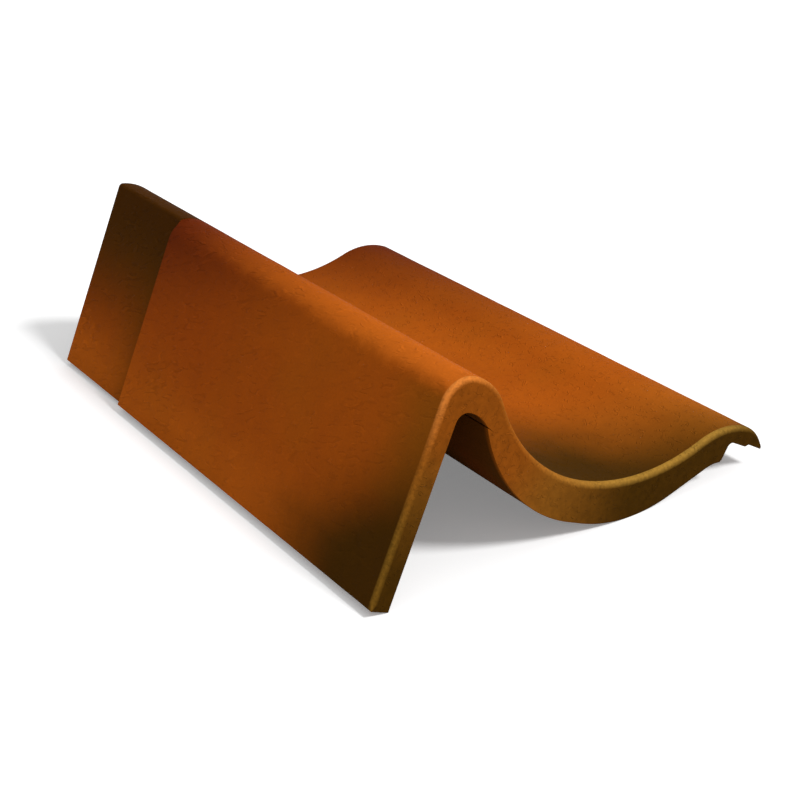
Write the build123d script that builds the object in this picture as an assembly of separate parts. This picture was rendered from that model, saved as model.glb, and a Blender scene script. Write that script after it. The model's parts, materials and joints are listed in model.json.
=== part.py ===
from build123d import *
import os
from math import asin, atan2, cos, degrees, radians, sin, sqrt

# A left-hand verge tile for a pantiled roof, moulded in concrete as one piece.
# Seen from the tail, its section runs from a flat flap, which hangs down beside the
# verge, over a roll, down through one broad pan and up to a thin side lap.
# The tile is drawn as it is laid on a roof: X from the flap to the side lap, Y from
# tail to head, Z up, with zero at the inner bottom corner of the flap at the tail.
# At the end it is tipped to the way it lies on level ground.

# The whole tile
tile_length = 420
tile_height = 144            # bottom of the flap to the crown of either roll

# The flap and the verge roll
flap_thickness = 13
shoulder_radius = 17.5       # outer turn from the flap to the crown
roll_radius = 37             # outer turn from the crown towards the pan
roof_thickness = 20.5        # crown down to the ceiling of the arch
ceiling_radius = 7.2         # inner turn from the flap to the ceiling

# The crease, where the flap and its roll were pressed on to the edge of the pan
crease_reach = 24.5          # from the flap's inner face to the mouth
crease_drop = 27.5           # from the crown down to the mouth
crease_depth = 7
crease_width = 1.4
crease_dip = 18              # degrees below level, going in

# The pan
pan_reach = 119              # from the flap's inner face to the lowest line of the top
pan_depth = 52
pan_thickness = 26.5
bed_reach = 118              # from the flap's inner face to the level strip underneath
bed_width = 11.5

# The side lap, which covers the edge of the next tile
lap_reach = 251              # from the flap's inner face to the crown of this roll
lap_roll_radius = 56         # towards the pan
lap_nose_radius = 25.5       # towards the nose
lap_thickness = 12.9         # crown down to the foot of the nose
nose_height = 1.2            # the blunt face at the very edge
drip_reach = 7.5             # from the crown to the top of the drip step under the lap
drip_rise = 1.6              # from the foot of the nose up to the top of the step
drip_height = 1.8            # top of the step down to its foot
drip_slope = 2.5             # how far the step leans, foot to top
seat_inset = 14              # from the crown back to the foot of the seat wall
seat_rise = 1.5              # from the foot of the drip step up to the top of the wall
seat_depth = 14.7            # height of the seat wall
seat_slope = 2               # how far the wall leans, foot to top
seat_radius = 4
foot_radius = 2.5
haunch_run = 33              # the straight stretch between the arc under the pan and the crest
haunch_radius = 22.5         # the arc over the crest, which ends at the foot of the seat wall
crest_reach = 3.2            # from that foot on to where the arc would be level

# The rebate at the head of the flap, which the tile above covers
rebate_length = 97
rebate_depth = 4.8
rebate_radius = 3            # where its face meets the top

# The rounded arris round the top of the tail
tail_radius = 3.5

# The nib that hooks over the batten, under the head of the pan
nib_width = 44
nib_inset = 12               # from the level strip under the pan to the nib
nib_drop = 12                # below the level strip
nib_length = 20
nib_setback = 3              # from the head
nib_radius = 3
nib_root_share = 0.75        # of the pan's thickness, taken up inside it

# The nail hole through the pan
nail_hole_radius = 3
nail_setback = 34            # from the head

overrun = 5                  # how far a cut runs past what it cuts
touching = 0.01              # edges nearer than this to a line lie on it


def run_of_arc(radius, drop):
    """Distance that an arc covers, from where it is level to where it has dropped."""
    return sqrt(radius**2 - (radius - drop) ** 2)


def drop_of_arc(radius, run):
    """Height that an arc loses over a run from where it is level."""
    return radius - sqrt(radius**2 - run**2)


def radius_through(start, end):
    """Radius of the arc that starts level and passes through its end."""
    chord = end - start
    return chord.length**2 / (2 * abs(chord.Y))


def s_bend(crown, trough, crown_radius):
    """Draw two arcs, level at crown and trough, that meet tangent to each other."""
    chord = trough - crown
    meeting = crown + chord * (crown_radius / radius_through(crown, trough))
    outward = Vector(chord.X, 0).normalized()
    TangentArc(crown, meeting, tangent=outward)
    TangentArc(trough, meeting, tangent=-outward)


# Heights and corners that follow from the sizes above
pan_floor = tile_height - pan_depth
bed_height = pan_floor - pan_thickness
lap_underside = tile_height - lap_thickness
ceiling_height = tile_height - roof_thickness

shoulder_start = Vector(-flap_thickness, tile_height - shoulder_radius)
verge_crown = Vector(shoulder_radius - flap_thickness, tile_height)
ceiling_start = Vector(0, ceiling_height - ceiling_radius)
ceiling_crown = Vector(ceiling_radius, ceiling_height)

crease_lower = Vector(crease_reach, tile_height - crease_drop)
crease_upper = crease_lower + Vector(-crease_width, crease_width)
crease_run = Vector(cos(radians(crease_dip)), -sin(radians(crease_dip))) * crease_depth
crease_end = crease_lower + crease_run

pan_low = Vector(pan_reach, pan_floor)
bed_start = Vector(bed_reach, bed_height)
bed_end = Vector(bed_reach + bed_width, bed_height)

lap_crown = Vector(lap_reach, tile_height)
nose_drop = lap_thickness - nose_height
nose = lap_crown + Vector(run_of_arc(lap_nose_radius, nose_drop), -nose_drop)
drip_top = Vector(lap_reach + drip_reach, lap_underside + drip_rise)
drip_foot = drip_top - Vector(drip_slope, drip_height)
seat_top = Vector(lap_reach - seat_inset + seat_slope, drip_foot.Y + seat_rise)
seat_foot = seat_top - Vector(seat_slope, seat_depth)

# Between two arcs that are level at their far ends, the straight run's slope follows
# from the span between those ends, and the arc under the pan takes what is left over
haunch_crest = seat_foot + Vector(crest_reach, drop_of_arc(haunch_radius, crest_reach))
haunch_span = haunch_crest - bed_end
haunch_slope = 2 * atan2(haunch_span.Y, haunch_span.X + haunch_run)
haunch_heading = Vector(cos(haunch_slope), sin(haunch_slope))
both_radii = (haunch_span.X - haunch_run * haunch_heading.X) / haunch_heading.Y
under_radius = both_radii - haunch_radius
under_run = under_radius * haunch_heading.Y
haunch_start = bed_end + Vector(under_run, drop_of_arc(under_radius, under_run))
haunch_end = haunch_start + haunch_heading * haunch_run

rebate_face = rebate_depth - flap_thickness
rebate_top = Vector(rebate_face, tile_height - drop_of_arc(roll_radius, verge_crown.X - rebate_face))

# The section: up the flap and over the top to the nose, then back along the underside
with BuildSketch(Plane.XZ) as section:
    with BuildLine() as weathered_line:
        Line((-flap_thickness, 0), shoulder_start)
        RadiusArc(shoulder_start, verge_crown, shoulder_radius)
        s_bend(verge_crown, pan_low, roll_radius)
        s_bend(lap_crown, pan_low, lap_roll_radius)
        TangentArc(lap_crown, nose, tangent=(1, 0))
    with BuildLine():
        Polyline(nose, (nose.X, lap_underside), drip_top, drip_foot, seat_top, seat_foot)
        TangentArc(bed_end, haunch_start, tangent=(1, 0))
        Line(haunch_start, haunch_end)
        TangentArc(haunch_end, seat_foot, tangent=haunch_heading)
        Line(bed_end, bed_start)
        TangentArc(bed_start, crease_lower, tangent=(-1, 0))
        Polyline(crease_lower, crease_end, crease_upper)
        TangentArc(ceiling_crown, crease_upper, tangent=(1, 0))
        RadiusArc(ceiling_start, ceiling_crown, ceiling_radius)
        Polyline(ceiling_start, (0, 0), (-flap_thickness, 0))
    make_face()
    corners = section.vertices()
    for corner, radius in ((seat_top, seat_radius), (seat_foot, foot_radius)):
        fillet(corners.sort_by_distance(corner)[0], radius)

# Over the rebate the roll's arc runs on past the crown and ends in a tighter corner
with BuildSketch(Plane.XZ.offset(rebate_length - tile_length)) as head_shoulder:
    with BuildLine():
        TangentArc(verge_crown, rebate_top, tangent=(-1, 0))
        Polyline(rebate_top, (rebate_face, shoulder_start.Y), (verge_crown.X, shoulder_start.Y), verge_crown)
    make_face()
    fillet(head_shoulder.vertices().sort_by_distance(rebate_top)[0], rebate_radius)

# The nib as seen from the tail, with its root inside the pan
nib_far = bed_reach - nib_inset
nib_floor = bed_height - nib_drop
nib_root = bed_height + pan_thickness * nib_root_share
nib_tail = tile_length - nib_setback - nib_length
with BuildSketch(Plane.XZ.offset(-nib_tail)) as nib_section:
    with BuildLine():
        Polyline(
            (nib_far, nib_floor),
            (nib_far, nib_root),
            (nib_far - nib_width, nib_root),
            (nib_far - nib_width, nib_floor),
            close=True,
        )
    make_face()
    fillet(nib_section.vertices().group_by(Axis.Z)[0], nib_radius)

with BuildPart() as tile:
    extrude(section.sketch, tile_length, dir=(0, 1, 0))

    # Round the arris between the tail's face and the weathered side
    weathered = Plane.XZ * weathered_line.line
    tail_edges = tile.faces().sort_by(Axis.Y)[0].edges()
    fillet([edge for edge in tail_edges if weathered.distance_to(edge @ 0.5) < touching], tail_radius)

    # Square up the shoulder at the head, then cut the rebate back from the flap's outer face
    extrude(head_shoulder.sketch, rebate_length, dir=(0, 1, 0))
    with Locations((-flap_thickness - overrun, tile_length + overrun, -overrun)):
        Box(
            rebate_depth + overrun,
            rebate_length + overrun,
            tile_height + 2 * overrun,
            align=(Align.MIN, Align.MAX, Align.MIN),
            mode=Mode.SUBTRACT,
        )

    extrude(nib_section.sketch, nib_length, dir=(0, 1, 0))

    # Drill the nail hole square through the pan
    with Locations((pan_reach, tile_length - nail_setback, bed_height - overrun)):
        Cylinder(
            nail_hole_radius,
            pan_thickness + 2 * overrun,
            align=(Align.CENTER, Align.CENTER, Align.MIN),
            mode=Mode.SUBTRACT,
        )

# On level ground the tile leans until the pan's underside comes down beside the flap:
# the ground is then the line from the flap's inner bottom corner that touches the arc
# under the pan
under_centre = bed_end + Vector(0, under_radius)
lean = degrees(atan2(under_centre.Y, under_centre.X) - asin(under_radius / under_centre.length))
leaning = Rot(0, lean, 0) * tile.part
box = leaning.bounding_box()
verge_tile = Pos(-box.center().X, -box.center().Y, -box.min.Z) * leaning

print(f"lean {lean:.2f} degrees, box {box.size.X:.1f} x {box.size.Y:.1f} x {box.size.Z:.1f}")
os.makedirs("parts", exist_ok=True)
export_step(verge_tile, "parts/verge_tile.step")
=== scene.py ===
# %% [markdown]
# # A left-hand verge tile in brindled concrete
#
# The tile closes the open side of a pantiled roof. Its flap hangs down over the edge
# of the gable, its pan carries the rain, and its thin side lap covers the next tile.
# It is one piece of pressed concrete, so it is made here as one closed skin.
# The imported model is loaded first: it gives the place, the lean and the box that the
# skin has to keep to.

# %% Load the frame
import json

import bmesh
import bpy
import numpy as np
from mathutils import Euler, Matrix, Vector
from mathutils.geometry import delaunay_2d_cdt


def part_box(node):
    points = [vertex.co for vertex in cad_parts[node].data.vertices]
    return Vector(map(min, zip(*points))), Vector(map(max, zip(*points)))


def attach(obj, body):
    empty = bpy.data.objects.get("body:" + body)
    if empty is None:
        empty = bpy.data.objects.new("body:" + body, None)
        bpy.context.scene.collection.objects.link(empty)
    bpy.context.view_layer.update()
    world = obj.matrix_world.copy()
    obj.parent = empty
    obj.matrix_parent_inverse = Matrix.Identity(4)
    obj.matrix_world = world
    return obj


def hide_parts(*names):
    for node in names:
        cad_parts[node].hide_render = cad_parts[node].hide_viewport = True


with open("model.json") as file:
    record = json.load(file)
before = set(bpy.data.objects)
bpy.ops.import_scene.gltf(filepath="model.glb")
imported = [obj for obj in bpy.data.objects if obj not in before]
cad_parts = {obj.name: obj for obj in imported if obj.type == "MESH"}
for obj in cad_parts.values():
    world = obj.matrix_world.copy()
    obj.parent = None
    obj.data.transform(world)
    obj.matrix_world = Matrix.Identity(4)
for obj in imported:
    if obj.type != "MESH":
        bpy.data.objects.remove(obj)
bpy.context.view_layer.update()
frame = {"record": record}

MM = 0.001
node_low, node_high = (np.array(corner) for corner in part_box("verge_tile"))
print("box of the packed tile in mm:", np.round((node_high - node_low) / MM, 1))

# %% [markdown]
# ## Two ways to say where a point is
#
# On a roof the flap hangs straight down, and the section is easiest to describe that
# way: x from the flap to the side lap, z up, in millimetres, with zero at the inner
# bottom corner of the flap. Lying on the ground the tile leans over. The packed
# record says how far, because it gives the direction that the flap's inner face
# looks in, so nothing has to be measured.

# %% The lean of the tile
mounts = {mount["name"]: mount for mount in frame["record"]["mounts"]}
flap_x, _, flap_z = mounts["flap_inner_face"]["axis"]
lean = np.arctan2(-flap_z, flap_x)
print(f"the tile leans {np.degrees(lean):.2f} degrees")


def lie_down(x, z):
    """Turn a laid point by the lean: x cos + z sin across, and z cos - x sin up."""
    return x * np.cos(lean) + z * np.sin(lean), z * np.cos(lean) - x * np.sin(lean)


def eased(part):
    """0 at 0 and 1 at 1, level at both ends: t^2 (3 - 2t)."""
    return part * part * (3 - 2 * part)


# %% [markdown]
# ## The section
#
# A pressed tile has the same section from end to end, and every curve in it is an arc
# of a circle that runs smoothly into the next, because the tool was turned that way.
# So the outline is written as a chain of straight lines and tangent arcs, from the
# same sizes as the solid, and then cut into points half a millimetre apart.

# %% Sizes of the section, in mm
length, height = 420.0, 144.0
flap, shoulder, roll = 13.0, 17.5, 37.0
roof, ceiling = 20.5, 7.2
crease_reach, crease_drop, crease_depth, crease_width, crease_dip = 24.5, 27.5, 7.0, 0.8, np.radians(18)
pan_reach, pan_depth, pan_thick = 119.0, 52.0, 26.5
bed_reach, bed_width = 118.0, 11.5
lap_reach, lap_roll, lap_nose, lap_thick, nose_height = 251.0, 56.0, 25.5, 12.9, 1.2
drip_reach, drip_rise, drip_height, drip_slope = 7.5, 1.6, 1.8, 2.5
seat_inset, seat_rise, seat_depth, seat_slope, seat_turn, foot_turn = 14.0, 1.5, 14.7, 2.0, 4.0, 2.5
haunch_run, haunch_roll, crest_reach = 33.0, 22.5, 3.2
rebate_length, rebate_depth, rebate_turn = 97.0, 4.8, 3.0
STEP = 0.5


# %% Lines and arcs as rows of points
def point(x, z):
    return np.array([x, z], float)


def line(start, end):
    """Points from start to end, evenly spaced, without the first."""
    count = max(2, int(np.ceil(np.linalg.norm(end - start) / STEP)))
    share = np.linspace(0, 1, count + 1)[1:, None]
    return start + (end - start) * share


def tangent_arc(start, heading, end):
    """Points of the circle that leaves start along heading and passes through end.

    The chord to the end lies at an angle a from the heading. A point that has turned
    by 2at lies at the distance chord * sin(at) / sin(a), in the direction that is
    turned by at. The heading at the end is turned by 2a.
    """
    chord = end - start
    size = np.linalg.norm(chord)
    base = np.arctan2(heading[1], heading[0])
    a = (np.arctan2(chord[1], chord[0]) - base + np.pi) % (2 * np.pi) - np.pi
    count = max(3, int(np.ceil(size / STEP)))
    turned = a * np.linspace(0, 1, count + 1)[1:]
    reach = size * np.sin(turned) / np.sin(a)
    points = start + reach[:, None] * np.stack([np.cos(base + turned), np.sin(base + turned)], 1)
    return points, point(np.cos(base + 2 * a), np.sin(base + 2 * a))


def s_bend(start, end, start_radius):
    """Two arcs, level at both ends, that meet where the first has its share of the chord."""
    chord = end - start
    both = chord @ chord / (2 * abs(chord[1]))
    meeting = start + chord * start_radius / both
    first, heading = tangent_arc(start, point(np.sign(chord[0]), 0), meeting)
    second, _ = tangent_arc(meeting, heading, end)
    return np.vstack([first, second])


def turned_corner(before, corner, after, radius):
    """Replace a corner by an arc that touches both its sides."""
    to_before = (before - corner) / np.linalg.norm(before - corner)
    to_after = (after - corner) / np.linalg.norm(after - corner)
    half = np.arccos(to_before @ to_after) / 2
    cut = radius / np.tan(half)
    start, end = corner + to_before * cut, corner + to_after * cut
    return start, np.vstack([start, tangent_arc(start, -to_before, end)[0]])


# %% The outline of the section
def front_side(rebated):
    """From the bottom of the flap up to the crown of the verge roll."""
    crown = point(shoulder - flap, height)
    if not rebated:
        turn_start = point(-flap, height - shoulder)
        return [line(point(-flap, 0), turn_start), tangent_arc(turn_start, point(0, 1), crown)[0]]
    face = rebate_depth - flap
    roll_centre = crown - point(0, roll)
    across = face + rebate_turn - crown[0]
    turn_centre = roll_centre + point(across, np.sqrt((roll - rebate_turn) ** 2 - across**2))
    turn_start = turn_centre - point(rebate_turn, 0)
    turn_end = roll_centre + (turn_centre - roll_centre) * roll / (roll - rebate_turn)
    corner, heading = tangent_arc(turn_start, point(0, 1), turn_end)
    return [line(point(face, 0), turn_start), corner, tangent_arc(turn_end, heading, crown)[0]]


def outline(rebated=False):
    """The closed outline as points, with a stretch number that grows along it.

    Stretch 0 to 1 is the flap's outer face and the shoulder, 1 to 2 the roll and the
    pan, 2 to 3 the far side of the pan, 3 to 4 the lap, and so on along the underside.
    """
    crown, pan_low = point(shoulder - flap, height), point(pan_reach, height - pan_depth)
    lap_crown = point(lap_reach, height)
    nose_drop = lap_thick - nose_height
    nose = lap_crown + point(np.sqrt(lap_nose**2 - (lap_nose - nose_drop) ** 2), -nose_drop)
    nose_foot = point(nose[0], height - lap_thick)
    drip_top = point(lap_reach + drip_reach, nose_foot[1] + drip_rise)
    drip_foot = drip_top - point(drip_slope, drip_height)
    seat_top = point(lap_reach - seat_inset + seat_slope, drip_foot[1] + seat_rise)
    seat_foot = seat_top - point(seat_slope, seat_depth)
    bed = height - pan_depth - pan_thick
    bed_end, bed_start = point(bed_reach + bed_width, bed), point(bed_reach, bed)
    crest = seat_foot + point(crest_reach, haunch_roll - np.sqrt(haunch_roll**2 - crest_reach**2))
    span = crest - bed_end
    slope = 2 * np.arctan2(span[1], span[0] + haunch_run)
    under_roll = (span[0] - haunch_run * np.cos(slope)) / np.sin(slope) - haunch_roll
    haunch_start = bed_end + under_roll * point(np.sin(slope), 1 - np.cos(slope))
    pan_curve, heading = tangent_arc(bed_end, point(1, 0), haunch_start)
    haunch_end = haunch_start + heading * haunch_run
    knuckle, heading = tangent_arc(haunch_end, heading, seat_foot)
    inside, seat_arc = turned_corner(drip_foot, seat_top, seat_foot, seat_turn)
    foot_start, foot_arc = turned_corner(seat_top, seat_foot, seat_foot - heading * seat_depth, foot_turn)
    foot_cut = np.linalg.norm(foot_arc[-1] - seat_foot)
    knuckle = knuckle[np.linalg.norm(knuckle - seat_foot, axis=1) > foot_cut + STEP]
    lip = point(crease_reach, height - crease_drop)
    upper_lip = lip + point(-crease_width, crease_width)
    tip = lip + crease_depth * point(np.cos(crease_dip), -np.sin(crease_dip))
    vault = point(ceiling, height - roof)
    vault_start = point(0, height - roof - ceiling)
    flap_foot = point((rebate_depth if rebated else 0) - flap, 0)
    under = [
        [line(nose, nose_foot)],
        [line(nose_foot, drip_top), line(drip_top, drip_foot), line(drip_foot, inside)],
        [seat_arc[1:], line(seat_arc[-1], foot_start), foot_arc[1:]],
        [knuckle[::-1], line(haunch_end, haunch_start)],
        [pan_curve[::-1], line(bed_end, bed_start)],
        [tangent_arc(bed_start, point(-1, 0), lip)[0]],
        [line(lip, tip), line(tip, upper_lip)],
        [tangent_arc(vault, point(1, 0), upper_lip)[0][::-1],
         tangent_arc(vault_start, point(0, 1), vault)[0][::-1]],
        [line(vault_start, point(0, 0)), line(point(0, 0), flap_foot)],
    ]
    stretches = [
        front_side(rebated),
        [s_bend(crown, pan_low, roll)],
        [s_bend(lap_crown, pan_low, lap_roll)[::-1]],
        [tangent_arc(lap_crown, point(1, 0), nose)[0]],
        *under,
    ]
    points, numbers = [], []
    for number, stretch in enumerate(stretches):
        joined = np.vstack(stretch)
        points.append(joined)
        numbers.append(number + np.arange(1, len(joined) + 1) / len(joined))
    return np.vstack(points), np.concatenate(numbers)


raw, _ = outline()
across, up = lie_down(*raw.T)
print(f"{len(raw)} points, {across.max() - across.min():.1f} mm wide and {up.max() - up.min():.1f} mm high")

# %% [markdown]
# ## Softening the corners
#
# Concrete never fills a mould's corners to the last grain, and the ones it does fill
# rub off in handling. A round on each corner could be drawn, but there are twenty.
# Averaging the outline over two millimetres of its own length rounds them all at
# once, and leaves straight runs and wide arcs where they are.

# %% Soften the outline
SOFTEN = 0.7
FINE = 0.1


def softened(points, numbers):
    """Move each point to the mean of the outline within SOFTEN on either side of it."""
    closed = np.vstack([points[-1:], points])
    along = np.r_[0, np.cumsum(np.linalg.norm(np.diff(closed, axis=0), axis=1))]
    count = int(along[-1] / FINE)
    even = np.arange(count) * along[-1] / count
    x, z = (np.interp(even, along, closed[:, axis]) for axis in (0, 1))
    number = np.interp(even, along, np.r_[0, numbers])
    reach = int(SOFTEN / FINE)
    window = np.ones(2 * reach + 1) / (2 * reach + 1)
    x, z = (np.convolve(np.r_[v[-reach:], v, v[:reach]], window, "valid") for v in (x, z))
    return np.stack([x, z], 1), number


full, full_number = softened(*outline())
cut_back, cut_back_number = softened(*outline(rebated=True))
print(f"outline of {len(full)} fine points, {len(full) * FINE:.0f} mm round")

# %% [markdown]
# ## Where the skin needs points
#
# A mesh looks smooth where its points follow the turns, and wastes points on flats.
# So the outline is measured by a mixed ruler: one unit is either a short stretch of
# length or a few degrees of turn. Points that are evenly spaced on that ruler crowd
# together at the corners by themselves. Two places get points of their own: the nail
# hole, which needs a square patch to open in, and the sides of the nib.

# %% Spread the points round the outline
REACH = 3.2                       # mm of length in one unit of the ruler
BEND = np.radians(7)              # turn in one unit
SHARPEST = 1.2 * BEND             # most turn that counts in one fine step
PATCH, PATCH_STEP = 6, 1.5        # the nail hole's patch, in cells each way and mm a cell
nail_hole_radius, nail_setback = 3.0, 34.0
nib_near, nib_width, nib_drop, nib_length, nib_setback, nib_wall = 106.0, 44.0, 12.0, 20.0, 3.0, 2.4


def ruler(points):
    """Length over REACH plus turn over BEND, added up along the outline.

    Where the outline doubles back within a step, as at the end of the crease, the turn
    counts as SHARPEST and no more.
    """
    ahead = np.roll(points, -1, axis=0) - points
    heading = np.unwrap(np.arctan2(ahead[:, 1], ahead[:, 0]))
    turn = np.minimum(np.abs(np.diff(heading, append=heading[-1])), SHARPEST)
    return np.cumsum(np.linalg.norm(ahead, axis=1) / REACH + turn / BEND)


def number_at(x, first, last):
    """The stretch number where the full outline between two stretches crosses x."""
    inside = (full_number > first) & (full_number < last)
    order = np.argsort(full[inside, 0])
    return np.interp(x, full[inside, 0][order], full_number[inside][order])


shared = ruler(full) + np.interp(full_number, cut_back_number, ruler(cut_back))
units = int(shared[-1] / 2)
spread = np.interp(np.linspace(shared[0], shared[-1], units, endpoint=False), shared, full_number)

patch_x = pan_reach + PATCH_STEP * np.arange(-PATCH, PATCH + 1)
patch_top = np.sort(number_at(patch_x, 1.3, 2.7))
patch_under = np.sort(number_at(patch_x, 7.3, 9.8))
nib_edges = [nib_near - nib_width, nib_near]
nib_walls = [number_at(edge + nib_wall * np.linspace(-0.5, 0.5, 5), 9.02, 9.98) for edge in nib_edges]
kept = np.ones(len(spread), bool)
for own in (patch_top, patch_under, *nib_walls):
    kept &= (spread < own.min() - 0.004) | (spread > own.max() + 0.004)
columns = np.sort(np.concatenate([spread[kept], patch_top, patch_under, *nib_walls]))
print(f"{len(columns)} points round the tile")

# %% [markdown]
# ## Rows along the length
#
# The section is carried from the tail, the end that shows, to the head. A row every
# few millimetres is enough on the plain stretch. Rows crowd together where something
# happens: at the step where the flap is cut back, round the nail hole, and at both
# ends of the nib.

# %% Stations from tail to head, in mm
ROW = 4.6
ARRIS_ROWS, EDGE_ROWS = 10, 5
STEP_LENGTH = 1.0                 # the cut-back comes in over this length
EDGE = 0.4                        # the small round on every plain edge
step_at = length - rebate_length
hole_at = length - nail_setback
nib_ends = [length - nib_setback - nib_length, length - nib_setback]


def between(start, end):
    """Evenly spaced stations, about ROW apart, without either end."""
    count = max(1, int(round((end - start) / ROW)))
    return np.linspace(start, end, count + 1)[1:-1]


step_rows = step_at + STEP_LENGTH * np.linspace(-0.6, 0.6, 11)
hole_rows = hole_at + PATCH_STEP * np.arange(-PATCH, PATCH + 1)
near_rows, far_rows = (end + nib_wall * np.linspace(-0.5, 0.5, 5) for end in nib_ends)
past_arris = np.array([4.25, 4.6, 5.3])
stations = np.concatenate([
    past_arris,
    between(past_arris[-1], step_rows[0]), step_rows,
    between(step_rows[-1], hole_rows[0]), hole_rows,
    near_rows, between(near_rows[-1], far_rows[0]), far_rows,
])
print(f"{len(stations)} rows between the two ends")

# %% [markdown]
# ## Rounding the two ends
#
# The tail has a generous round between its face and the weathered side, which catches
# the light all along the edge. It is three millimetres on the flap and four in the
# pan, and it dies away at the thin nose. Each row of the round is the section drawn
# inwards: at the angle a it lies r(1 - cos a) along the tile and r(1 - sin a) in from
# the outside. All the other edges get the same treatment with a much smaller radius.

# %% The skin as a grid of rows and columns
tail_rounds = {0: 0.35, 0.03: 3.0, 0.86: 3.0, 1.3: 3.8, 2: 4.0, 2.8: 3.8, 3.3: 3.0, 3.8: 1.4,
               3.94: 0.3, 4: 0.2, 5.2: 0.2, 5.6: 0.35, 9.7: 0.35, 9.9: 0.03, 11.1: 0.03, 11.3: 0.35, 13: 0.35}
tail_radius = np.interp(columns, list(tail_rounds), list(tail_rounds.values()))
head_radius = np.minimum(tail_radius, EDGE)


def outward(points):
    """The direction out of the section: the heading turned a quarter to the left."""
    heading = np.roll(points, -1, axis=0) - np.roll(points, 1, axis=0)
    heading /= np.linalg.norm(heading, axis=1)[:, None]
    return np.stack([-heading[:, 1], heading[:, 0]], 1)


def on_columns(numbers, values):
    return np.stack([np.interp(columns, numbers, values[:, axis]) for axis in (0, 1)], 1)


sections = {name: (on_columns(numbers, points), on_columns(numbers, outward(points)))
            for name, points, numbers in (("full", full, full_number),
                                          ("cut_back", cut_back, cut_back_number))}

quarter = np.linspace(0, np.pi / 2, ARRIS_ROWS)[:, None]
tail_y, tail_in = tail_radius * (1 - np.cos(quarter)), tail_radius * (1 - np.sin(quarter))
quarter = np.linspace(np.pi / 2, 0, EDGE_ROWS)[:, None]
head_y, head_in = length - head_radius * (1 - np.cos(quarter)), head_radius * (1 - np.sin(quarter))
row_y = np.vstack([tail_y, np.repeat(stations[:, None], len(columns), 1), head_y])
row_in = np.vstack([tail_in, np.zeros((len(stations), len(columns))), head_in])

share = np.clip((row_y - step_at) / STEP_LENGTH + 0.5, 0, 1)
share = eased(share)[..., None]
skin = sections["full"][0] * (1 - share) + sections["cut_back"][0] * share
out = sections["full"][1] * (1 - share) + sections["cut_back"][1] * share
skin = skin - out * row_in[..., None]
x, y, z = skin[..., 0], row_y, skin[..., 1]
print(f"a grid of {x.shape[0]} rows and {x.shape[1]} columns")

# %% [markdown]
# ## The nib and the nail hole
#
# Under the head of the pan a nib hooks over the batten, and beside it a hole takes
# the nail. The nib is a push downwards: inside its footprint the underside drops to
# one level, and the walls are the few columns and rows where that push fades out.
# The hole opens in a square patch of the grid: the rings of the square are drawn in
# until the innermost is a circle, on the top and on the underside alike.

# %% Push down the nib
def fade_in(value, start, end):
    """0 outside start to end and 1 inside, with a smooth wall nib_wall wide at each."""
    inside_start = np.clip((value - start) / nib_wall + 0.5, 0, 1)
    inside_end = np.clip((end - value) / nib_wall + 0.5, 0, 1)
    return eased(inside_start) * eased(inside_end)


under_pan = (columns > 9) & (columns < 10)
push = fade_in(x, nib_near - nib_width, nib_near) * fade_in(y, *nib_ends) * under_pan
nib_level = height - pan_depth - pan_thick - nib_drop
z = z * (1 - push) + nib_level * push

# %% Open the nail hole
RIM = 0.5                         # the round at the mouth of the hole
OPEN = 3                          # rings of the patch that the hole takes up
row_mid = ARRIS_ROWS + int(np.argmin(np.abs(stations - hole_at)))
top_mid = int(np.argmin(np.abs(columns - patch_top[PATCH])))
under_mid = int(np.argmin(np.abs(columns - patch_under[PATCH])))
step_row, step_column = np.mgrid[-PATCH : PATCH + 1, -PATCH : PATCH + 1]
ring = np.maximum(np.abs(step_row), np.abs(step_column))
angle = np.arctan2(step_row, step_column)
fade = np.clip((ring - OPEN) / (PATCH - OPEN), 0, 1)
for mid, way in ((top_mid, 1), (under_mid, -1)):
    patch = np.ix_(range(row_mid - PATCH, row_mid + PATCH + 1), range(mid - PATCH, mid + PATCH + 1))
    round_x = pan_reach + way * (nail_hole_radius + RIM) * np.cos(angle)
    round_y = hole_at + (nail_hole_radius + RIM) * np.sin(angle)
    moved_x, moved_y = x[patch] * fade + round_x * (1 - fade), y[patch] * fade + round_y * (1 - fade)
    first, last = (1.3, 2.7) if way == 1 else (7.3, 9.8)
    flat = (full_number > first) & (full_number < last)
    order = np.argsort(full[flat, 0])
    x[patch], y[patch] = moved_x, moved_y
    z[patch] = np.interp(moved_x, full[flat, 0][order], full[flat, 1][order])
print(f"nail hole {2 * nail_hole_radius:.0f} mm wide, {length - hole_at:.0f} mm from the head")

# %% [markdown]
# ## Nothing pressed is quite true
#
# A straight extrusion looks drawn. On a real tile the faces swim by a tenth or two of
# a millimetre, which shows where light grazes them. The swell is smooth noise: random
# heights on a lattice, joined by smooth curves. It only ever goes inwards, so that the
# tile keeps its size.

# %% Smooth noise, and the swell of the faces
LATTICE = 256                     # cells after which the noise repeats


def smooth_noise(u, v, cell, seed):
    """Random heights from 0 to 1 on a lattice with that cell, joined by smooth curves."""
    heights = np.random.default_rng(seed).random((LATTICE, LATTICE))
    u, v = np.asarray(u) / cell, np.asarray(v) / cell
    column, row = np.floor(u).astype(int), np.floor(v).astype(int)
    du, dv = eased(u - column), eased(v - row)

    def between_rows(at_column):
        low = heights[row % LATTICE, at_column % LATTICE]
        high = heights[(row + 1) % LATTICE, at_column % LATTICE]
        return low * (1 - dv) + high * dv

    return between_rows(column) * (1 - du) + between_rows(column + 1) * du


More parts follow.
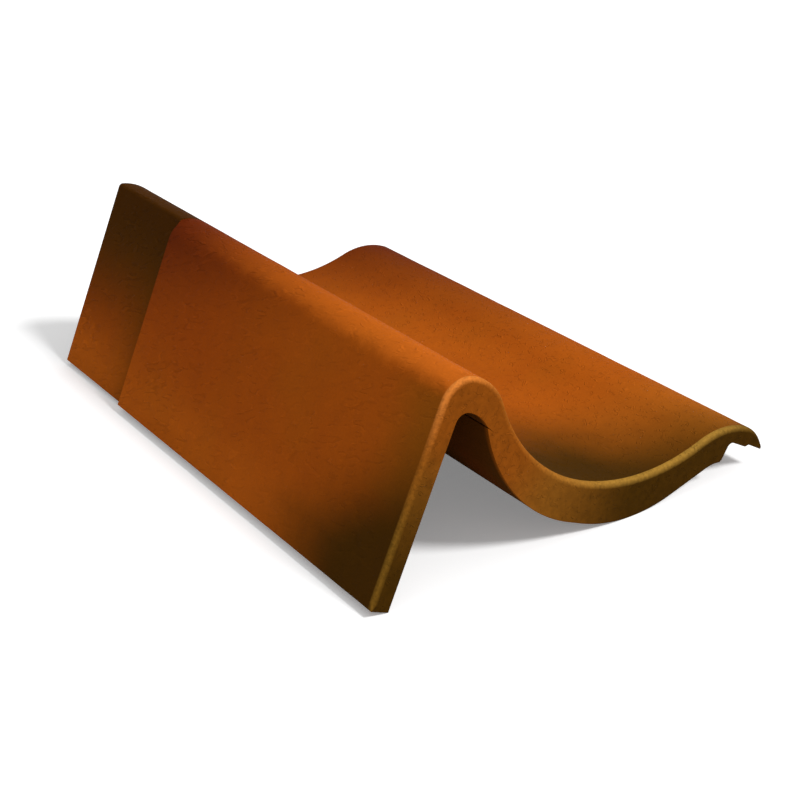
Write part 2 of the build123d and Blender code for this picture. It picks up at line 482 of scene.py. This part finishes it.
SWELL = 0.22
steps_round = np.linalg.norm(np.diff(sections["full"][0], axis=0, prepend=sections["full"][0][:1]), axis=1)
run = np.cumsum(steps_round)      # mm round the outline, from the bottom of the flap
swell = 0.7 * smooth_noise(run, y, 31.0, 5) + 0.3 * smooth_noise(run, y, 12.0, 6)
ends = np.clip(np.minimum(y, length - y) / 12.0, 0, 1)
creased = (columns > 9.9) & (columns < 11.1)
x, z = (value - out[..., axis] * SWELL * swell * ends * ~creased for axis, value in enumerate((x, z)))
print(f"the faces swim by up to {SWELL * (swell * ends).max():.2f} mm")

# %% [markdown]
# ## Closing the skin
#
# Each cell of the grid becomes one four-sided face, and the last column joins the
# first. The nail hole's two rims are joined by rings of faces down the bore. Tail and
# head are flat, but their colour changes across them, so they need points inside as
# well: a lattice of points is cut out along the outline and joined up in triangles.

# %% Fill an end face
CAP_CELL = 3.5


def fill(outer):
    """Points of a lattice inside a closed outline, and triangles that join them to it.

    A point is inside if a ray from it crosses the outline an odd number of times. Those
    nearer to the outline than 0.6 of a cell are left out.
    """
    low, high = outer.min(axis=0), outer.max(axis=0)
    lattice = np.mgrid[low[0] : high[0] : CAP_CELL, low[1] : high[1] : CAP_CELL].reshape(2, -1).T
    start, end = outer, np.roll(outer, -1, axis=0)
    spans = (start[:, 1] > lattice[:, 1:]) != (end[:, 1] > lattice[:, 1:])
    climb = np.where(end[:, 1] == start[:, 1], 1.0, end[:, 1] - start[:, 1])
    crossing = start[:, 0] + (lattice[:, 1:] - start[:, 1]) * (end[:, 0] - start[:, 0]) / climb
    inside = (spans & (crossing > lattice[:, :1])).sum(axis=1) % 2 == 1
    away = np.linalg.norm(lattice[:, None] - outer[None], axis=2).min(axis=1)
    inner = lattice[inside & (away > 0.6 * CAP_CELL)]
    corners = [Vector(corner) for corner in np.vstack([outer, inner]).tolist()]
    loop = [list(range(len(outer)))]
    _, _, triangles, came_from, _, _ = delaunay_2d_cdt(corners, [], loop, 1, 1e-6)
    order = np.array([first for first, *_ in came_from])
    return inner, order[np.array(triangles)]


end_faces = [fill(np.stack([x[end], z[end]], 1)) for end in (0, -1)]
print("points inside the end faces:", [len(inner) for inner, _ in end_faces])

# %% Build the mesh
rows, around = x.shape
index = np.arange(rows * around).reshape(rows, around)
after = np.roll(index, -1, axis=1)
cells = np.stack([index[:-1], index[1:], after[1:], after[:-1]], -1)
closed = np.ones(cells.shape[:2], bool)
for mid in (top_mid, under_mid):
    closed[row_mid - OPEN : row_mid + OPEN, mid - OPEN : mid + OPEN] = False

side = np.arange(-OPEN, OPEN)
ring_row = np.concatenate([np.full(2 * OPEN, -OPEN), side, np.full(2 * OPEN, OPEN), -side])
ring_column = np.concatenate([side, np.full(2 * OPEN, OPEN), -side, np.full(2 * OPEN, -OPEN)])
top_ring = index[row_mid + ring_row, top_mid + ring_column]
under_ring = index[row_mid + ring_row, under_mid - ring_column]
points = np.stack([x, y, z], -1).reshape(-1, 3)
ring_angle = np.arctan2(ring_row, ring_column)
bore = points[top_ring] * [0, 0, 1]
bore[:, 0] = pan_reach + nail_hole_radius * np.cos(ring_angle)
bore[:, 1] = hole_at + nail_hole_radius * np.sin(ring_angle)
depth = (points[top_ring, 2] - points[under_ring, 2])[:, None]
levels = [bore - [0, 0, 1] * (RIM + (depth - 2 * RIM) * part) for part in np.linspace(0, 1, 6)]
level_index = len(points) + np.arange(len(levels) * len(bore)).reshape(len(levels), -1)
rings = np.vstack([top_ring, level_index, under_ring])
bore_cells = np.stack([rings[:-1], rings[1:], np.roll(rings[1:], -1, 1), np.roll(rings[:-1], -1, 1)], -1)

points = np.vstack([points, *levels])
faces = [*cells[closed].tolist(), *bore_cells.reshape(-1, 4).tolist()]
for end, at_y in ((0, 0.0), (-1, length)):
    inner, triangles = end_faces[end]
    numbers = np.r_[index[end], len(points) + np.arange(len(inner))]
    points = np.vstack([points, np.insert(inner, 1, at_y, axis=1)])
    faces += numbers[triangles].tolist()
across, up = lie_down(points[:, 0], points[:, 2])
raw_across, raw_up = lie_down(*raw.T)
place = node_low / MM - [raw_across.min(), 0, raw_up.min()]
rounding = (node_high - node_low)[1] / MM / length
tile_mesh = bpy.data.meshes.new("moulded_tile")
tile_mesh.from_pydata((np.stack([across, points[:, 1] * rounding, up], -1) + place) * MM, [], faces)

# %% Point every face outwards
skin_mesh = bmesh.new()
skin_mesh.from_mesh(tile_mesh)
bmesh.ops.recalc_face_normals(skin_mesh, faces=skin_mesh.faces)
open_edges = sum(not edge.is_manifold for edge in skin_mesh.edges)
litres = skin_mesh.calc_volume() * 1000
for face in skin_mesh.faces:
    face.smooth = abs(face.normal.y) < 0.99 or len(face.verts) == 4
skin_mesh.to_mesh(tile_mesh)
skin_mesh.free()
tile = bpy.data.objects.new("moulded_tile", tile_mesh)
bpy.context.scene.collection.objects.link(tile)
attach(tile, "root")
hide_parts("verge_tile")
triangles = sum(len(face.vertices) - 2 for face in tile_mesh.polygons)
print(f"{triangles} triangles, {open_edges} open edges, {litres:.2f} litres")

# %% [markdown]
# ## Drifts of pigment
#
# A brindled tile is coloured while it is green: slurries of pigment are sprayed on the
# moving line, over an orange that goes all through it. So a dark colour is thickest at
# the nozzle and thins out over a hand's breadth. Each drift is laid out on the unrolled
# face: how far round the outline from the bottom of the flap, and how far from the
# tail. Umber lies on both corners of the tail, rust comes in from the head, and the
# rebate, which the next tile covers, is umber again, with a band of painted shade
# beside the step. The tail's own face and its rounded arris were cut and rubbed after
# that. Each takes a few pigments of its own, which run into each other along the edge:
# the face's are darkened as painted shade, and the arris has a painted highlight over
# its rubbed colour, brightest on the shoulder. Every point of the skin gets its colour.

# %% Pigments
def pigment(red, green, blue):
    """The linear colour of a tone that is written as a screen shows it, 0 to 255."""
    tone = np.array([red, green, blue]) / 255
    return np.where(tone > 0.04045, ((tone + 0.055) / 1.055) ** 2.4, tone / 12.92)


ORANGE, PALE_ORANGE = pigment(162, 77, 14), pigment(173, 85, 17)
KHAKI, STRAW, UMBER = pigment(122, 75, 12), pigment(152, 97, 28), pigment(67, 40, 5)
OLIVE, RUST = pigment(66, 41, 6), pigment(88, 30, 9)
BRICK, BACK = pigment(147, 63, 11), pigment(82, 38, 8)
HEAD_UMBER, DEEP_UMBER, END_UMBER = pigment(82, 48, 4), pigment(65, 35, 3), pigment(60, 37, 4)
# The arris tones hold painted highlight as well as rubbed colour; the cut end's tone is darkened as painted
# shade.
CUT_AND_SHADE, WORN_AND_LIT, SHOULDER_HIGHLIGHT = pigment(126, 65, 12), pigment(150, 84, 22), pigment(216, 126, 52)
PARCHED_AND_LIT, MOSSY = pigment(156, 116, 46), pigment(115, 80, 24)


def mixed(base, tone, share):
    """Each colour moved towards the tone by its own share."""
    return base + (tone - base) * np.asarray(share)[..., None]


def rise(value, start, end):
    """0 at start and 1 at end, smoothly. Where end is below start, it runs downwards."""
    return eased(np.clip((value - start) / (end - start), 0, 1))


def hill(value, middle, reach):
    """1 in the middle, falling smoothly to 0 at that reach on both sides."""
    return rise(np.abs(value - middle), reach, 0)


def past(value, start):
    """How far a value is past its start, and 0 before it."""
    return np.maximum(value - start, 0)


def drift(around, along, distance, half, width, seed):
    """1 near the nozzle and 0 far from it, 0.5 at the distance half, over that width.

    It is eased between half - width / 2 and half + width / 2, and two smooth noises push
    the distance about by a few millimetres.
    """
    broad, fine = 14.0, 5.0
    wobble = broad * smooth_noise(around, along, 34.0, seed)
    wobble = wobble + fine * smooth_noise(around, along, 9.0, seed + 1) - (broad + fine) / 2
    return eased(np.clip(0.5 + (half - distance + wobble) / width, 0, 1))


# %% The sprayed face, the cut end and the underside
def sprayed(around, along):
    """Orange, a little mottled, under drifts that start at the corners of the tile, with a band of painted
    shade on the rebate beside the step.
    """
    colour = mixed(ORANGE, PALE_ORANGE, rise(around, 50, 5) + rise(around, 165, 300))
    colour = mixed(colour, KHAKI, 0.12 * past(2 * smooth_noise(around, along, 29.0, 21), 1))
    colour = mixed(colour, BRICK, 0.18 * past(2 * smooth_noise(around, along, 23.0, 22), 1))
    on_flap = np.clip((along - 130) / 110, 0, 1) * np.clip((around - 25) / 45, 0, 1) * (around < 160)
    colour = mixed(colour, BRICK, 0.66 * on_flap)
    from_head = length - along
    to_ridge = from_head + 2.8 * past(132, around) + 1.5 * past(around, 165)
    colour = mixed(colour, RUST, drift(around, along, to_ridge, 185, 320, 31))
    to_lap = from_head + 2.1 * past(454, around)
    colour = mixed(colour, RUST, drift(around, along, to_lap, 206, 400, 33))
    to_edge = along + 3 * past(62, around) + 3 * past(around, 126)
    colour = mixed(colour, KHAKI, 0.60 * drift(around, along, to_edge, 24, 56, 35))
    to_lap_edge = along + 3 * past(335, around)
    colour = mixed(colour, KHAKI, 0.40 * drift(around, along, to_lap_edge, 24, 50, 43))
    to_corner = along + 1.42 * past(around, 20)
    colour = mixed(colour, UMBER, drift(around, along, to_corner, 96, 105, 37))
    to_gully = along + 0.95 * past(around, 310) + 2.6 * past(265, around)
    colour = mixed(colour, STRAW, 0.42 * drift(around, along, along + 1.6 * past(315, around), 66, 120, 45))
    colour = mixed(colour, OLIVE, drift(around, along, to_gully, 90, 150, 39))
    to_tip = along + 0.9 * past(445, around)
    colour = mixed(colour, UMBER, 0.9 * drift(around, along, to_tip, 18, 45, 41))
    rising = rise(around, 10, 120) * rise(around, 190, 165)
    # A band of painted shade on the rebate beside the step, darkest against it.
    wide_band, narrow_band = (np.clip((step_at + width - along) / width, 0, 1) for width in (48, 18))
    painted_step_shade = (0.42 * wide_band + 0.24 * narrow_band) * (around < 140)
    covered_and_step_shade = (along > step_at) * (1 - (1 - rising) * (1 - painted_step_shade))
    return mixed(colour, mixed(HEAD_UMBER, DEEP_UMBER, rise(around, 60, 132)), covered_and_step_shade)


def cut_end_and_shade(around):
    """The tail's own face: plain concrete, mossy in the bend, umber towards both ends, and kept dark all over
    as painted shade.
    """
    # These tones stand for the cut face's own colour darkened by painted shade.
    colour = mixed(CUT_AND_SHADE, MOSSY, 0.5 * rise(around, 115, 60) + 0.5 * rise(around, 215, 265))
    return mixed(colour, END_UMBER, rise(around, 125, 15) + rise(around, 245, 330))


def rubbed_and_highlit_arris(around):
    """The rounded arris: rubbed colour with a painted highlight over it. It is mossy down the flap,
    peach where the painted highlight is brightest on the shoulder, pale gold in the pan, where
    it is partly painted highlight too, and umber at the nose."""
    colour = mixed(WORN_AND_LIT, PARCHED_AND_LIT, rise(around, 200, 340))
    colour = mixed(colour, MOSSY, rise(around, 110, 35))
    # The shoulder's peach is a painted highlight.
    colour = mixed(colour, SHOULDER_HIGHLIGHT, 0.95 * hill(around, 137, 50))
    return mixed(colour, END_UMBER, rise(around, 395, 455))


def underside_tone(around, along):
    """The underside: dark and a little patchy."""
    return mixed(BACK, UMBER, 0.7 * smooth_noise(around, along, 33.0, 61))


# %% Colour every point
weathered = columns < 4
rim = np.stack([x[0], z[0]], 1)


def nearest_run(places):
    """How far round the outline the nearest point of the weathered side is."""
    away = np.linalg.norm(places[:, None] - rim[weathered][None], axis=2)
    return run[weathered][away.argmin(axis=1)]


rows_around = np.broadcast_to(run, x.shape)
face_side = np.broadcast_to(np.clip((4.6 - columns) / 0.6, 0, 1), x.shape)
skin_colour = mixed(underside_tone(rows_around, y), sprayed(rows_around, row_y), face_side)

bend = np.arccos(1 - np.clip(row_y / tail_radius, 0, 1))
edge_around = np.broadcast_to(nearest_run(rim), x.shape)
# Share of the arris colour, rubbed colour and painted highlight together, by how far the round has turned.
rubbed_and_lit = np.clip(bend / 0.95, 0, 1) * weathered
end_colour = mixed(cut_end_and_shade(edge_around), rubbed_and_highlit_arris(rows_around), rubbed_and_lit)
skin_colour = np.where((row_y <= 1.001 * tail_radius)[..., None], end_colour, skin_colour)

inside_tail, inside_head = (inner for inner, _ in end_faces)
head_around = nearest_run(inside_head)
colours = np.vstack([
    skin_colour.reshape(-1, 3),
    np.broadcast_to(BACK, (level_index.size, 3)),
    cut_end_and_shade(nearest_run(inside_tail)),
    underside_tone(head_around, length),
])
brindle = tile_mesh.attributes.new("brindle", "FLOAT_COLOR", "POINT")
brindle.data.foreach_set("color", np.c_[colours, np.ones(len(colours))].ravel().astype(np.float32))
print(f"{len(colours)} coloured points, mean colour {np.round(colours.mean(axis=0), 3).tolist()}")

# %% [markdown]
# The unrolled place goes on the mesh as well, because the material draws its marks in
# it. It belongs to the corners of the faces and not to the points: where the outline
# closes, one point is both the start and the end of the run, and the end faces are off
# the sprayed face altogether.

# %% Unroll the skin
OFF_THE_FACE = 2 * run[-1]
loop_point = np.zeros(len(tile_mesh.loops), int)
tile_mesh.loops.foreach_get("vertex_index", loop_point)
loop_face = np.repeat(np.arange(len(faces)), [len(face) for face in faces])
off_face = np.full(len(points) - x.size, OFF_THE_FACE)
place_round, place_along = np.concatenate([rows_around.ravel(), off_face])[loop_point], points[loop_point, 1]
last_column = np.zeros(len(faces), bool)
last_column[: closed.sum()] = np.broadcast_to(np.arange(around) == around - 1, closed.shape)[closed]
place_round[last_column[loop_face] & (loop_point % around == 0)] = run[-1]
place_round[loop_face >= closed.sum() + bore_cells[..., 0].size] = OFF_THE_FACE
unrolled = tile_mesh.attributes.new("unrolled", "FLOAT_VECTOR", "CORNER")
flat_place = np.stack([place_round, place_along, np.zeros(len(loop_point))], 1) * MM
unrolled.data.foreach_set("vector", flat_place.ravel().astype(np.float32))
print(f"{len(loop_point)} corners unrolled over {run[-1]:.0f} mm")

# %% [markdown]
# ## The surface of pressed concrete
#
# Seen close, the face is sand in cement: grains about a millimetre across, each a
# little lighter or darker. The roller that presses the face drags some of them along,
# which leaves short scratches, slanting on the flap and scattered in the pan. Both
# come from noise read in the tile's own space: drawn out along the drag for the
# scratches, and thin because only a narrow band of its values counts. Each scratch and
# each pore is darkened in colour as painted shade, and the burr beside a scratch is
# lightened as a painted highlight, on top of the bump that raises them.

# %% A short way to wire a material
def new_material(name):
    """An empty node material, with a function that adds a node and wires its inputs.

    An input that is given a socket is linked to it; any other value is set on it.
    """
    material = bpy.data.materials.new(name)
    material.use_nodes = True
    tree = material.node_tree
    tree.nodes.clear()
    return material, lambda kind, inputs, **settings: wire(tree, kind, inputs, settings)


def wire(tree, kind, inputs, settings):
    node = tree.nodes.new("ShaderNode" + kind)
    for name, value in settings.items():
        setattr(node, name, value)
    for name, value in inputs.items():
        if isinstance(value, bpy.types.NodeSocket):
            tree.links.new(value, node.inputs[name])
        else:
            node.inputs[name].default_value = value
    return node


# %% Grain, drag marks and pores
concrete, add = new_material("pressed_concrete")
space = add("TexCoord", {}).outputs["Object"]
flat = add("Attribute", {}, attribute_name="unrolled").outputs["Vector"]
flat_axes = add("SeparateXYZ", {"Vector": flat})
round_way = flat_axes.outputs["X"]


def span(value, low, high, start, end, smooth=False):
    """Turn values from low to high into values from start to end, and stop at both."""
    kind = "SMOOTHSTEP" if smooth else "LINEAR"
    inputs = {"Value": value, "From Min": low, "From Max": high, "To Min": start, "To Max": end}
    return add("MapRange", inputs, interpolation_type=kind).outputs["Result"]


def maths(operation, first, second):
    return add("Math", {0: first, 1: second}, operation=operation).outputs[0]


def noise(vector, size_mm, detail, curl=0.0):
    """Noise whose lumps are about that many millimetres apart."""
    inputs = {"Vector": vector, "Scale": 1 / (size_mm * MM), "Detail": detail}
    return add("TexNoise", {**inputs, "Roughness": 0.55, "Distortion": curl}).outputs["Fac"]


def drag_marks(slant, stretch, size_mm, thin, curl, sparse):
    """Short grooves, 1 deep and 0 outside, each with a burr beside it that counts -1.

    The groove is where stretched noise is a little under one half, the burr where it is
    a little over, and a second noise cuts both into short pieces: they show where it is
    above sparse.
    """
    turned_space = add("Mapping", {
        "Vector": space,
        "Rotation": (np.radians(slant), lean, 0),
        "Scale": (1, stretch, 1),
    }, vector_type="TEXTURE").outputs["Vector"]
    lumps = noise(turned_space, size_mm, 0.0, curl)

    def line_near(middle):
        off = maths("ABSOLUTE", maths("SUBTRACT", lumps, middle), 0.0)
        return span(off, 0.0, thin, 1.0, 0.0, smooth=True)

    groove, burr = (line_near(0.5 + shift) for shift in (-0.6 * thin, 0.6 * thin))
    pieces = noise(turned_space, 0.85 * size_mm, 0.0)
    here_and_there = span(pieces, sparse, sparse + 0.08, 0.0, 1.0, smooth=True)
    return maths("MULTIPLY", maths("SUBTRACT", groove, burr), here_and_there)


PORE_SPACING = 9.0                # mm
grain = noise(space, 1.5, 3.0)
patches = noise(space, 11.0, 3.0)
thick_and_thin = span(noise(space, 45.0, 1.0), 0.42, 0.58, 0.5, 1.0, smooth=True)
denser = span(flat_axes.outputs["Y"], 0.09, 0.26, 0.8, 1.25)
slanting = drag_marks(-18, 3.4, 3.6, 0.12, 0.25, 0.49)
slanting = maths("MULTIPLY", slanting, maths("MULTIPLY", thick_and_thin, denser))
scattered = drag_marks(12, 1.4, 4.2, 0.065, 0.8, 0.53)
in_pan = span(round_way, 0.150, 0.190, 0.0, 1.0)
past_nose, before_ends = span(round_way, 0.455, 0.460, 0.0, 1.0), span(round_way, 1.0, 1.1, 1.0, 0.0)
underneath = maths("MULTIPLY", past_nose, before_ends)
pressed = maths("SUBTRACT", 1.0, underneath)
marks = maths("MULTIPLY", add("Mix", {0: in_pan, 2: slanting, 3: scattered}).outputs[0], pressed)
cells = add("TexVoronoi", {"Vector": space, "Scale": 1 / (PORE_SPACING * MM)}).outputs["Distance"]
pits = span(cells, 0.03, 0.08, 1.0, 0.0, smooth=True)
pores = maths("MULTIPLY", pits, span(patches, 0.48, 0.56, 0.0, 1.0))
on_end = span(round_way, 1.0, 1.1, 0.0, 1.0)
near_tail = span(flat_axes.outputs["Y"], 0.0035, 0.0045, 1.0, 0.0)
on_arris = maths("MULTIPLY", near_tail, span(round_way, 0.455, 0.460, 1.0, 0.0))
streaks = span(noise(space, 6.0, 4.0, 0.5), 0.32, 0.68, -0.13, 0.13)
grit = span(noise(space, 2.0, 2.0), 0.32, 0.68, -0.16, 0.16)
worn = maths("ADD", maths("MULTIPLY", on_end, streaks), maths("MULTIPLY", on_arris, grit))

# %% The ridge, with a band of painted highlight
# A band of painted highlight along the ridge's left shoulder, ragged at its lower edge and fading towards the
# head.
wobble = span(noise(space, 13.0, 3.0), 0.3, 0.7, -0.003, 0.003)
ridge_start = span(maths("ADD", round_way, wobble), 0.1280, 0.1400, 0.0, 1.0, smooth=True)
ridge_end = span(round_way, 0.150, 0.168, 1.0, 0.0, smooth=True)
toward_head = span(flat_axes.outputs["Y"], 0.02, 0.30, 1.0, 0.0)
behind_arris = span(flat_axes.outputs["Y"], 0.0032, 0.0042, 0.0, 1.0)
lengthways = maths("MULTIPLY", toward_head, behind_arris)
ridge_highlight = maths("MULTIPLY", maths("MULTIPLY", ridge_start, ridge_end), lengthways)

# %% Put the concrete together
brindled = add("Attribute", {}, attribute_name="brindle").outputs["Color"]
# The painted highlight on the ridge, mixed over the brindled pigments.
highlight_tone, highlight_share = (*pigment(200, 101, 26), 1), maths("MULTIPLY", ridge_highlight, 0.85)
brighter = add("Mix", {0: highlight_share, 6: brindled, 7: highlight_tone}, data_type="RGBA")
light_and_dark = maths("MULTIPLY", span(grain, 0.25, 0.75, 0.94, 1.06), span(patches, 0.3, 0.7, 0.96, 1.04))
light_and_dark = maths("MULTIPLY", light_and_dark, maths("ADD", 1.0, worn))
# Scratches and pores are darkened as painted shade, burrs lightened as painted highlight.
shaded = maths("MULTIPLY", light_and_dark, span(maths("ADD", marks, pores), -2.0, 2.0, 1.20, 0.80))
toned = add("VectorMath", {0: brighter.outputs[2], "Scale": shaded}, operation="SCALE").outputs[0]
height_map = maths("ADD", maths("MULTIPLY", grain, 0.22), maths("MULTIPLY", patches, 0.5))
height_map = maths("SUBTRACT", height_map, maths("MULTIPLY", maths("ADD", marks, pores), 0.65))
relief = add("Bump", {"Strength": 0.6, "Distance": 0.0006, "Height": height_map}).outputs["Normal"]
roughness = span(maths("ADD", grain, patches), 0.7, 1.3, 0.62, 0.82)
skin_shader = add("BsdfPrincipled", {
    "Base Color": toned,
    "Roughness": roughness,
    "Normal": relief,
    "Specular IOR Level": 0.01,
}).outputs[0]
add("OutputMaterial", {"Surface": skin_shader})
tile_mesh.materials.append(concrete)

# %% [markdown]
# ## Floor, light and camera
#
# The tile lies on a plain pale floor under a bright overcast sky, with one large soft
# lamp high on the right, towards the head. A sun lamp with a wide angle does that and
# lights the whole floor evenly. The floor is made a little brighter for the camera's
# own rays alone, so it runs out into white and still keeps the tile's shadow.

# %% Floor
FLOOR_HALF = 30.0
floor_mesh = bpy.data.meshes.new("floor")
floor_mesh.from_pydata([(-FLOOR_HALF, -FLOOR_HALF, 0), (FLOOR_HALF, -FLOOR_HALF, 0),
                        (FLOOR_HALF, FLOOR_HALF, 0), (-FLOOR_HALF, FLOOR_HALF, 0)], [], [(0, 1, 2, 3)])
floor = bpy.data.objects.new("floor", floor_mesh)
bpy.context.scene.collection.objects.link(floor)

floor_material, add = new_material("pale_floor")
seen = add("LightPath", {}).outputs["Is Camera Ray"]
matt = add("BsdfDiffuse", {"Color": span(seen, 0.0, 1.0, 0.85, 1.0)}).outputs[0]
glow = add("Emission", {"Strength": maths("MULTIPLY", seen, 0.21)}).outputs[0]
add("OutputMaterial", {"Surface": add("AddShader", {0: matt, 1: glow}).outputs[0]})
floor_mesh.materials.append(floor_material)

# %% Sky
SKY_LEVEL = 0.50
sky = bpy.data.worlds.new("overcast")
bpy.context.scene.world = sky
sky.use_nodes = True
sky.node_tree.nodes.clear()


def add(kind, inputs, **settings):
    return wire(sky.node_tree, kind, inputs, settings)


rays = add("LightPath", {}).outputs
mirrored = maths("MAXIMUM", rays["Is Glossy Ray"], rays["Is Transmission Ray"])
shown = maths("MAXIMUM", rays["Is Camera Ray"], mirrored)
even = add("Background", {"Color": (1, 1, 1, 1), "Strength": SKY_LEVEL}).outputs[0]
white = add("Background", {"Color": (1, 1, 1, 1), "Strength": 1.0}).outputs[0]
add("OutputWorld", {"Surface": add("MixShader", {0: shown, 1: even, 2: white}).outputs[0]})

# %% The lamp
SUN_HEIGHT = np.radians(47.5)     # above the floor
SUN_HEADING = np.radians(150)     # from the head to the right
sun = bpy.data.lights.new("soft_lamp", "SUN")
sun.energy = 2.4
sun.angle = np.radians(13)
lamp = bpy.data.objects.new("soft_lamp", sun)
lamp.rotation_euler = Euler((0, np.pi / 2 - SUN_HEIGHT, np.pi / 2 - SUN_HEADING))
bpy.context.scene.collection.objects.link(lamp)

# %% [markdown]
# ## The camera
#
# The photograph was taken from the front left, a little above the tile. Where the
# camera stood was worked out from the tile itself: its long edges are parallel and
# its sizes are known, so only one place makes them all fall where they are seen.

# %% Camera
CAMERA_FROM_CORNER = np.array([-409.89, -591.0, 485.65])   # mm from the flap's inner corner at the tail
CAMERA_DIP, CAMERA_HEADING = np.radians(26.034), np.radians(35.271)
FOCAL_PIXELS, FRAME_PIXELS = 1517.2, 800
lens = bpy.data.cameras.new("camera")
lens.sensor_width = 36
lens.lens = lens.sensor_width * FOCAL_PIXELS / FRAME_PIXELS
camera = bpy.data.objects.new("camera", lens)
camera.location = (place + CAMERA_FROM_CORNER) * MM
camera.rotation_euler = Euler((np.pi / 2 - CAMERA_DIP, 0, -CAMERA_HEADING))
bpy.context.scene.collection.objects.link(camera)
bpy.context.scene.camera = camera
bpy.context.scene.view_settings.view_transform = "Standard"
